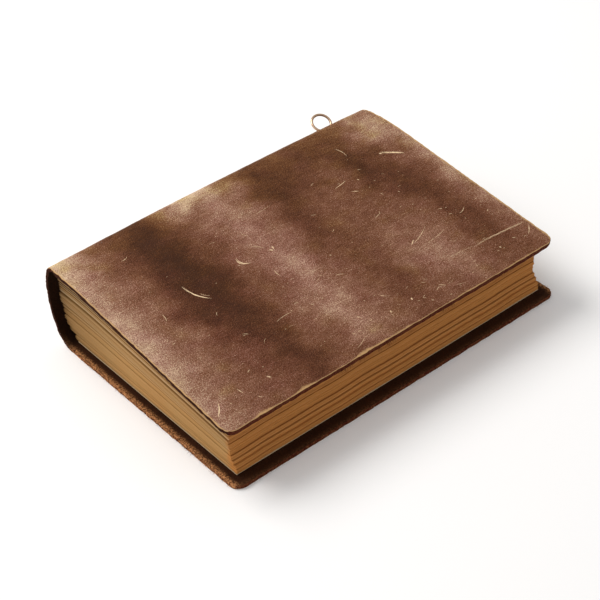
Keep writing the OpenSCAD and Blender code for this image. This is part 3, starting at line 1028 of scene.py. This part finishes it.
def strokes_on(section, wrap, starts, ends, bow, width, height=0.03, stations=14):
    """Flat ribbons on the front cover's grain side: each runs from start to end, bowed sideways as
    a parabola, and swells from nothing to its width and back as the root of a half sine."""
    t = np.linspace(0, 1, stations)
    along = starts[:, None] + (ends - starts)[:, None] * t[:, None]
    across = np.stack([-(ends - starts)[:, 1], (ends - starts)[:, 0]], 1)
    across /= np.linalg.norm(across, axis=1)[:, None]
    along = along + across[:, None] * (bow[:, None] * 4 * t * (1 - t))[..., None]
    swell = width[:, None] / 2 * np.sqrt(np.sin(np.pi * t) + 0.02)
    wobble = 1 + 0.35 * ripples(along[..., 0] * 3, along[..., 1] * 3, 2.6, 41)
    reach = (swell * np.clip(wobble, 0.35, 1.6))[..., None] * across[:, None]
    flat = np.stack([along - reach, along, along + reach], 2)
    settle = np.array([0.0, 1.0, 0.0]) * height + 0.015
    u = section.at_fold - flat[..., 0]
    y = flat[..., 1] + FRONT_LOW[1]
    x, z = section.line.place(u, settle + leather_lift(section, wrap, u, y))
    points = np.stack([x, y, z], -1).reshape(-1, 3)
    ids = np.arange(len(points)).reshape(len(starts), stations, 3)
    a, b = ids[:, :-1, :-1], ids[:, 1:, :-1]
    c, d = ids[:, 1:, 1:], ids[:, :-1, 1:]
    return points, np.stack([a, b, c, d], -1).reshape(-1, 4)


class JOURNAL_OT_scuffs(bpy.types.Operator):
    """Lays the scratches, nicks and rubbed spots on the front cover"""

    bl_idname = "journal.scuffs"
    bl_label = "Scuffs"

    def execute(self, context):
        settings = context.scene.journal
        section = Section(settings.wrap)
        rng = np.random.default_rng(7)
        marks = np.array(SCRATCHES, float)
        hairs = np.repeat(np.arange(len(marks)), marks[:, 6].astype(int))
        drawn = marks[hairs]
        offset = rng.normal(0, 0.35, (len(hairs), 2)) * (drawn[:, 6:7] > 1)
        starts, ends = drawn[:, 0:2] + offset, drawn[:, 2:4] + offset * 0.6
        count = 190
        place = np.stack([rng.beta(2.2, 1.1, count) * 124 + 12, rng.beta(1.7, 1.1, count) * 200 + 1], 1)
        turn = rng.normal(1.35, 0.5, count)
        reach = rng.gamma(1.6, 0.8, count)
        step = np.stack([np.cos(turn), np.sin(turn)], 1) * reach[:, None] / 2
        limit = FRONT_HIGH[0] - section.fold - 0.7
        starts = np.concatenate([starts, place - step])
        ends = np.concatenate([ends, place + step])
        starts[:, 0], ends[:, 0] = np.minimum(starts[:, 0], limit), np.minimum(ends[:, 0], limit)
        starts[:, 1], ends[:, 1] = np.clip(starts[:, 1], 0.8, 202), np.clip(ends[:, 1], 0.8, 202)
        bow = np.concatenate([drawn[:, 4], rng.normal(0, 0.12, count) * reach])
        width = np.concatenate([drawn[:, 5] * 0.75, rng.uniform(0.09, 0.24, count)])
        points, quads = strokes_on(section, settings.wrap, starts, ends, bow, width)
        new_piece("cover_scuffs", points, quads, [scraped_leather(settings.colours)],
                  body="front_flap")
        fibres(settings, section)
        return {"FINISHED"}


# Tufts that hang from the front cover's fore edge: distance from the tail and number of fibres.
TUFTS = ((63, 16), (66, 22), (71, 26), (77, 10), (88, 30), (93, 34), (97, 16), (128, 26), (133, 12),
         (168, 14))


def fibres(settings, section):
    """Loose fibres at the cut edges: thin three-sided spikes that leave the edge and droop. On the
    front cover most hang in tufts, on the back cover they stand along the whole tail edge."""
    half = FRONT_HIGH[1]
    for name, body, count in (("front_fibres", "front_flap", 560), ("back_fibres", "back_flap", 1500)):
        front = body == "front_flap"
        rng = np.random.default_rng(3 if front else 4)
        on_side = rng.random(count) < (0.4 if front else 0.7)
        y_run = rng.uniform(-half + 5, half - 5, count)
        hanging = np.zeros(count)
        if front:
            tufts = np.repeat([y for y, n in TUFTS], [n for y, n in TUFTS])
            y_run[: len(tufts)] = tufts - half + rng.normal(0, 1.1, len(tufts))
            on_side[: len(tufts)] = False
            hanging[: len(tufts)] = 1
        x_run = rng.uniform(8, FRONT_HIGH[0] - section.fold - 6, count)
        depth = rng.uniform(0.3, section.leather - 0.1, count)
        depth = np.where(hanging > 0, section.leather - 0.4, depth)
        end = np.where(rng.random(count) < 0.75, -half, half)
        u = section.at_fold - x_run if front else section.at_foot + x_run
        u = np.where(on_side, np.clip(u, 0, section.at_end - 6), 0 if front else section.at_end)
        y = np.where(on_side, end, y_run)
        x, z = section.line.place(u, -depth)
        out = np.stack([~on_side, on_side * np.sign(y), 0 * y], 1)
        root = np.stack([x, y, z], 1) - out * 0.3
        size = rng.gamma(2.2, 0.12 if front else 0.17, count) + 0.2 + hanging * 0.7
        stray = rng.normal(0, 0.5, (count, 3))
        droop = np.zeros((count, 3))
        droop[:, 2] = -rng.uniform(0, 0.7, count) * (1 if front else 0.1) - hanging * 1.1
        t = np.linspace(0, 1, 5)[:, None]
        reach = (out * (1 - 0.6 * hanging[:, None]) + stray * 0.5)[:, None] * t
        centre = root[:, None] + (reach + (droop + stray * 0.4)[:, None] * t**2) * size[:, None, None]
        centre[..., 2] = np.maximum(centre[..., 2], 0.05)
        across = np.stack([on_side, ~on_side, 0 * y], 1) * 1.0
        steep = (hanging > 0)[:, None]
        side = np.where(steep, np.array([1.0, 0, 0]), np.array([0, 0, 1.0]))
        side, across = (np.repeat(a[:, None], 5, 1) for a in (side, across))
        radius = rng.uniform(0.04, 0.085, count) * (1 + 0.4 * hanging)
        taper = 1 - t[:, 0] * 0.8
        points, quads = tubes(centre, side, across, (radius[:, None] * taper)[..., None], 3)
        new_piece(name, points, quads, [loose_fibre(settings.colours, front)], body=body)


def loose_fibre(shades, front):
    """Fibre pulled from a cut edge."""
    s = Shader("Leather fibre", Roughness=0.9, Specular_IOR_Level=0.1)
    place = s.place()
    patch = s.noise(place, 600, 3, 0.7)
    base = s.mix(patch.above(0.4, 0.6) * (0.25 if front else 1.0), shades.cut, shades.cut_fuzz)
    return s.set(Base_Color=base)


# The block


class JOURNAL_OT_pages(bpy.types.Operator):
    """Makes the sewn signatures with the edges of their leaves, and finishes the endpapers"""

    bl_idname = "journal.pages"
    bl_label = "Pages"

    def execute(self, context):
        settings = context.scene.journal
        paper, shades = settings.paper, settings.colours
        section = Section(settings.wrap)
        block = Block(section, paper)
        rows = paper.leaves + 1
        share = np.concatenate([[0, 0.02], (np.arange(rows - 2) + 0.5) / (rows - 2), [0.98, 1]])
        share = np.unique(share)
        signature = np.repeat(np.arange(block.count), len(share))
        within = np.tile(share, block.count)
        rng = np.random.default_rng(5)
        rim = 1 - ease(np.minimum(within, 1 - within) / 0.07)
        jitter = paper.jitter / MM
        loose = rng.normal(0, 1, (4, len(within))) * jitter * (1 - rim)
        bundle = np.repeat(rng.normal(0, 1, (4, block.count * 3)), math.ceil(len(share) / 3), 1)
        loose = loose + bundle[:, : len(within)] * jitter * 0.9
        groove = paper.groove / MM * rim
        tail = PAPER_LOW[1] + block.ragged + block.ragged * np.sin(signature * block.tail_turn)
        head = PAPER_HIGH[1] - block.ragged + block.ragged * np.sin(signature * block.head_turn)
        tail, head = tail + groove * 0.4 + loose[0], head - groove * 0.4 - loose[1]
        low = np.array([0.0, -0.7, 1.9, 0.8])
        stand = np.where(signature < len(low), low[np.minimum(signature, len(low) - 1)], 0)
        level_out = -0.5 * block.ragged * np.sin(signature * block.fore_turn)
        right = block.fore_end(signature) + stand + level_out - groove * 0.7 + loose[2]
        swell = 1 - np.sqrt(1 - np.clip(2 * within - 1, -1, 1) ** 2)
        left = block.fold_tip(signature) + block.fold * swell + 0.1
        level = signature + within
        span = np.concatenate([[0, 0.004, 0.012], np.linspace(0.02, 0.98, 56), [0.99, 0.997, 1]])
        depth = np.concatenate([[0, 0.004], np.linspace(0.01, 0.99, 78), [0.996, 1]])
        (i, j, k), quads, side = box_skin(len(span), len(depth), len(level))
        x = left[k] + (right - left)[k] * span[i]
        y = tail[k] + (head - tail)[k] * depth[j]
        wave = 0.12 * ripples(y, level[k] * 1.5, 45, 52) * (i == len(span) - 1)
        x = x + wave - 0.08 * np.abs(ripples(y, level[k] * 9, 5, 53)) * (i == len(span) - 1)
        z = block.height(x, level[k])
        points = np.stack([x, y, z], 1)
        piece = new_piece("sewn_pages", points, quads, [kraft_paper(shades)], body="book_block",
                          facet=28)
        set_attribute(piece, "leaf", level[k])
        # Painted shade in the grooves between signatures, weaker on the low ones and on the tail face.
        seam = (rim**2 * np.where(signature < 4, 0.25, 1))[k]
        set_attribute(piece, "gap", seam * np.where(j == 0, 0.55, 1))
        # The fore edge is oranger: partly aged, partly painted bounce light.
        fore = ease((x - block.reach + 3.0) / 3.0)
        set_attribute(piece, "handled", 0.05 + 0.7 * fore)
        # Painted shade by the signatures' folds, and on the tail face darker towards the spine.
        soot = 0.6 * (1 - ease((x - left[k] - 0.2) / 1.6))
        set_attribute(piece, "fanned", ease((level[k] - 4) / 5) * (j == 0))
        set_attribute(piece, "soot", np.maximum(soot, 0.3 * ease((-5 - x) / 55)))
        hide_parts("page_block")
        for node in ("front_endpaper", "back_endpaper"):
            sheet = frame["nodes"][node]
            sheet.data.materials.clear()
            sheet.data.materials.append(pale_paper(shades))
        return {"FINISHED"}


# Sewing and ring


class JOURNAL_OT_sewing(bpy.types.Operator):
    """Sews two long stitches of waxed thread for each signature along the spine"""

    bl_idname = "journal.sewing"
    bl_label = "Sewing"

    def execute(self, context):
        settings = context.scene.journal
        sewing = settings.sewing
        section = Section(settings.wrap)
        block = Block(section, settings.paper)
        radius, lift = sewing.thread / MM / 2, sewing.lift / MM
        stitch = sewing.stitch / MM
        first = FRONT_LOW[1] + sewing.inset / MM
        starts = np.array([first, -first - stitch])
        z = block.height(block.near, np.arange(block.count) + 0.5)
        z, start = (a.ravel() for a in np.meshgrid(z, starts, indexing="ij"))
        out_x = section.spine_x(z, radius + lift)
        in_x = block.fold_tip(np.repeat(np.arange(block.count), 2)) - lift
        # A stitch runs in, round a quarter turn, along the spine, round again and out.
        turn = radius * 1.1
        leg = np.linspace(0, 1, 8, endpoint=False)
        bend = np.linspace(0, math.pi / 2, 7)
        run = np.linspace(0, 1, 92)[1:-1]
        reach = (in_x - out_x)[:, None]
        sag = 0.12 * np.sin(np.pi * run) ** 2
        x_in = reach + (turn - reach) * leg
        x_bend = turn * (1 - np.sin(bend))[None] + 0 * reach
        x_run = -sag[None] * 0.4 + 0 * reach
        y_in = np.zeros((len(z), len(leg)))
        y_bend = turn * (1 - np.cos(bend))[None] + y_in[:, :1]
        y_run = turn + (stitch - 2 * turn) * run[None] + y_in[:, :1]
        x = np.concatenate([x_in, x_bend, x_run, x_bend[:, ::-1], x_in[:, ::-1]], 1)
        y = np.concatenate([y_in, y_bend, y_run, stitch - y_bend[:, ::-1], stitch - y_in], 1)
        rng = np.random.default_rng(9)
        stray = rng.normal(0, 0.1, (len(z), 1)) * np.sin(np.pi * np.clip(y / stitch, 0, 1))
        centre = np.stack([x + out_x[:, None], y + start[:, None], z[:, None] + stray], -1)
        step = np.gradient(centre[..., :2], axis=1)
        step /= np.linalg.norm(step, axis=-1)[..., None]
        side = np.stack([step[..., 1], -step[..., 0], 0 * x], -1)
        up = np.zeros_like(centre)
        up[..., 2] = 1
        sides = 12
        along = np.cumsum(np.linalg.norm(np.diff(centre, axis=1, prepend=centre[:, :1]), axis=-1), 1)
        angle = np.linspace(0, 2 * np.pi, sides, endpoint=False)
        ply = np.cos(1.5 * (angle - 2 * np.pi * along[..., None] / (sewing.ply_turn / MM))) ** 2
        thick = radius * (0.84 + 0.16 * ply)
        points, quads = tubes(centre, side, -up, thick, sides)
        piece = new_piece("waxed_stitches", points, quads, [waxed_linen(settings.colours)],
                          body="book_block")
        set_attribute(piece, "ply", ply.ravel())
        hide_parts("binding_thread")
        return {"FINISHED"}


class JOURNAL_OT_ring(bpy.types.Operator):
    """Bends the wire ring at the head of the spine"""

    bl_idname = "journal.ring"
    bl_label = "Spine ring"

    def execute(self, context):
        settings = context.scene.journal
        sewing = settings.sewing
        lean, wire = sewing.ring_lean, sewing.ring_wire / MM / 2
        middle = (RING_LOW + RING_HIGH) / 2
        hoop = (RING_HIGH[1] - RING_LOW[1]) / 2 - wire
        turn = np.linspace(0, 2 * np.pi, 145)[:-1]
        ray = np.array([-math.sin(lean), 0, math.cos(lean)])
        flat = np.array([math.cos(lean), 0, math.sin(lean)])
        spoke = np.cos(turn)[:, None] * np.array([0, 1.0, 0]) + np.sin(turn)[:, None] * ray
        # The butt joint of the wire shows as a fine groove at the side.
        seam = np.exp(-(((turn - 0.55) / 0.018) ** 2))
        radius = wire * (1 - 0.22 * seam) * (1 + 0.01 * np.sin(5 * turn))
        around = np.linspace(0, 2 * np.pi, 24, endpoint=False)
        circle = np.cos(around)[None, :, None] * spoke[:, None] + np.sin(around)[:, None] * flat
        points = middle + hoop * spoke[:, None] + radius[:, None, None] * circle
        ids = np.arange(len(turn) * len(around)).reshape(len(turn), len(around))
        a, b = ids, np.roll(ids, -1, 0)
        quads = np.stack([a, b, np.roll(b, -1, 1), np.roll(a, -1, 1)], -1).reshape(-1, 4)
        piece = new_piece("wire_ring", points.reshape(-1, 3), quads, [brass_wire(settings.colours)],
                          body="book_block")
        # Painted dark reflection on the inner side of the hoop.
        grime = np.broadcast_to(np.maximum(0, -np.cos(around)) ** 2, (len(turn), len(around)))
        set_attribute(piece, "grime", grime.ravel())
        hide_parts("spine_ring")
        return {"FINISHED"}


# Stage


class JOURNAL_OT_stage(bpy.types.Operator):
    """Sets the floor, the soft lights and the camera"""

    bl_idname = "journal.stage"
    bl_label = "Stage"

    def execute(self, context):
        scene = context.scene
        settings = scene.journal
        stage = settings.stage
        scene.view_settings.view_transform = "Standard"
        reach = 4000
        corner = np.array([[-1, -1, 0], [1, -1, 0], [1, 1, 0], [-1, 1, 0]]) * reach
        floor = new_piece("floor", corner + (0, 0, -0.02), [[0, 1, 2, 3]],
                          [studio_floor(settings.colours)])
        world = bpy.data.worlds.new("Studio")
        scene.world = world
        world.use_nodes = True
        tree = world.node_tree
        sky = tree.nodes["Background"]
        sky.inputs["Color"].default_value = (1.0, 0.985, 0.965, 1)
        sky.inputs["Strength"].default_value = stage.sky
        white = tree.nodes.new("ShaderNodeBackground")
        white.inputs["Color"].default_value = (1, 1, 1, 1)
        white.inputs["Strength"].default_value = 1
        path = tree.nodes.new("ShaderNodeLightPath")
        blend = tree.nodes.new("ShaderNodeMixShader")
        tree.links.new(path.outputs["Is Camera Ray"], blend.inputs[0])
        tree.links.new(sky.outputs[0], blend.inputs[1])
        tree.links.new(white.outputs[0], blend.inputs[2])
        tree.links.new(blend.outputs[0], tree.nodes["World Output"].inputs["Surface"])
        for name, place, size, power, tint in (
            ("Window light", (-0.85, -0.4, 1.15), 0.9, stage.key, (1.0, 0.965, 0.92)),
            ("Soft light", (0.5, -0.9, 1.5), 1.6, stage.fill, (1.0, 0.98, 0.96)),
        ):
            lamp = bpy.data.lights.new(name, "AREA")
            lamp.energy, lamp.size, lamp.color = power, size, tint
            light = bpy.data.objects.new(name, lamp)
            scene.collection.objects.link(light)
            light.location = place
            aim = np.array([0, 0, 0.03]) - place
            light.rotation_euler = look_along(aim).to_euler()
        camera = bpy.data.objects.new("Camera", bpy.data.cameras.new("Camera"))
        scene.collection.objects.link(camera)
        camera.data.lens = stage.lens
        camera.data.sensor_width = 36
        camera.data.clip_start, camera.data.clip_end = 0.05, 20
        camera.location = stage.camera
        camera.rotation_euler = camera_turn(stage).to_euler()
        scene.camera = camera
        return {"FINISHED"}


def look_along(direction):
    """Rotation that points a lamp's or a camera's own -Z along a direction."""
    return Vector(direction).to_track_quat("-Z", "Y").to_matrix()


def camera_turn(stage):
    """Rotation from azimuth, elevation and roll: the camera's X, Y and Z axes as columns."""
    a, e, r = stage.azimuth, stage.elevation, stage.roll
    ahead = np.array([-math.sin(a) * math.cos(e), math.cos(a) * math.cos(e), -math.sin(e)])
    right = np.array([math.cos(a), math.sin(a), 0])
    down = np.cross(ahead, right)
    rolled = math.cos(r) * right + math.sin(r) * down
    up = math.sin(r) * right - math.cos(r) * down
    return Matrix(np.stack([rolled, up, -ahead], 1).tolist())


class JOURNAL_PT_panel(bpy.types.Panel):
    """Lists the operators that build the journal"""

    bl_label = "Journal"
    bl_idname = "JOURNAL_PT_panel"
    bl_space_type = "VIEW_3D"
    bl_region_type = "UI"
    bl_category = "Journal"

    def draw(self, context):
        for step in STEPS:
            self.layout.operator(step.bl_idname)


STEPS = (
    JOURNAL_OT_leather,
    JOURNAL_OT_scuffs,
    JOURNAL_OT_pages,
    JOURNAL_OT_sewing,
    JOURNAL_OT_ring,
    JOURNAL_OT_stage,
)
CLASSES = (
    JournalWrap,
    JournalPaper,
    JournalSewing,
    JournalColours,
    JournalStage,
    JournalSettings,
    *STEPS,
    JOURNAL_PT_panel,
)


def register():
    for made in CLASSES:
        bpy.utils.register_class(made)
    bpy.types.Scene.journal = bpy.props.PointerProperty(type=JournalSettings)


def unregister():
    del bpy.types.Scene.journal
    for made in reversed(CLASSES):
        bpy.utils.unregister_class(made)


def main():
    """Registers the classes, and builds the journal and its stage."""
    register()
    for step in STEPS:
        group, name = step.bl_idname.split(".")
        getattr(getattr(bpy.ops, group), name)()


if __name__ == "__main__":
    main()
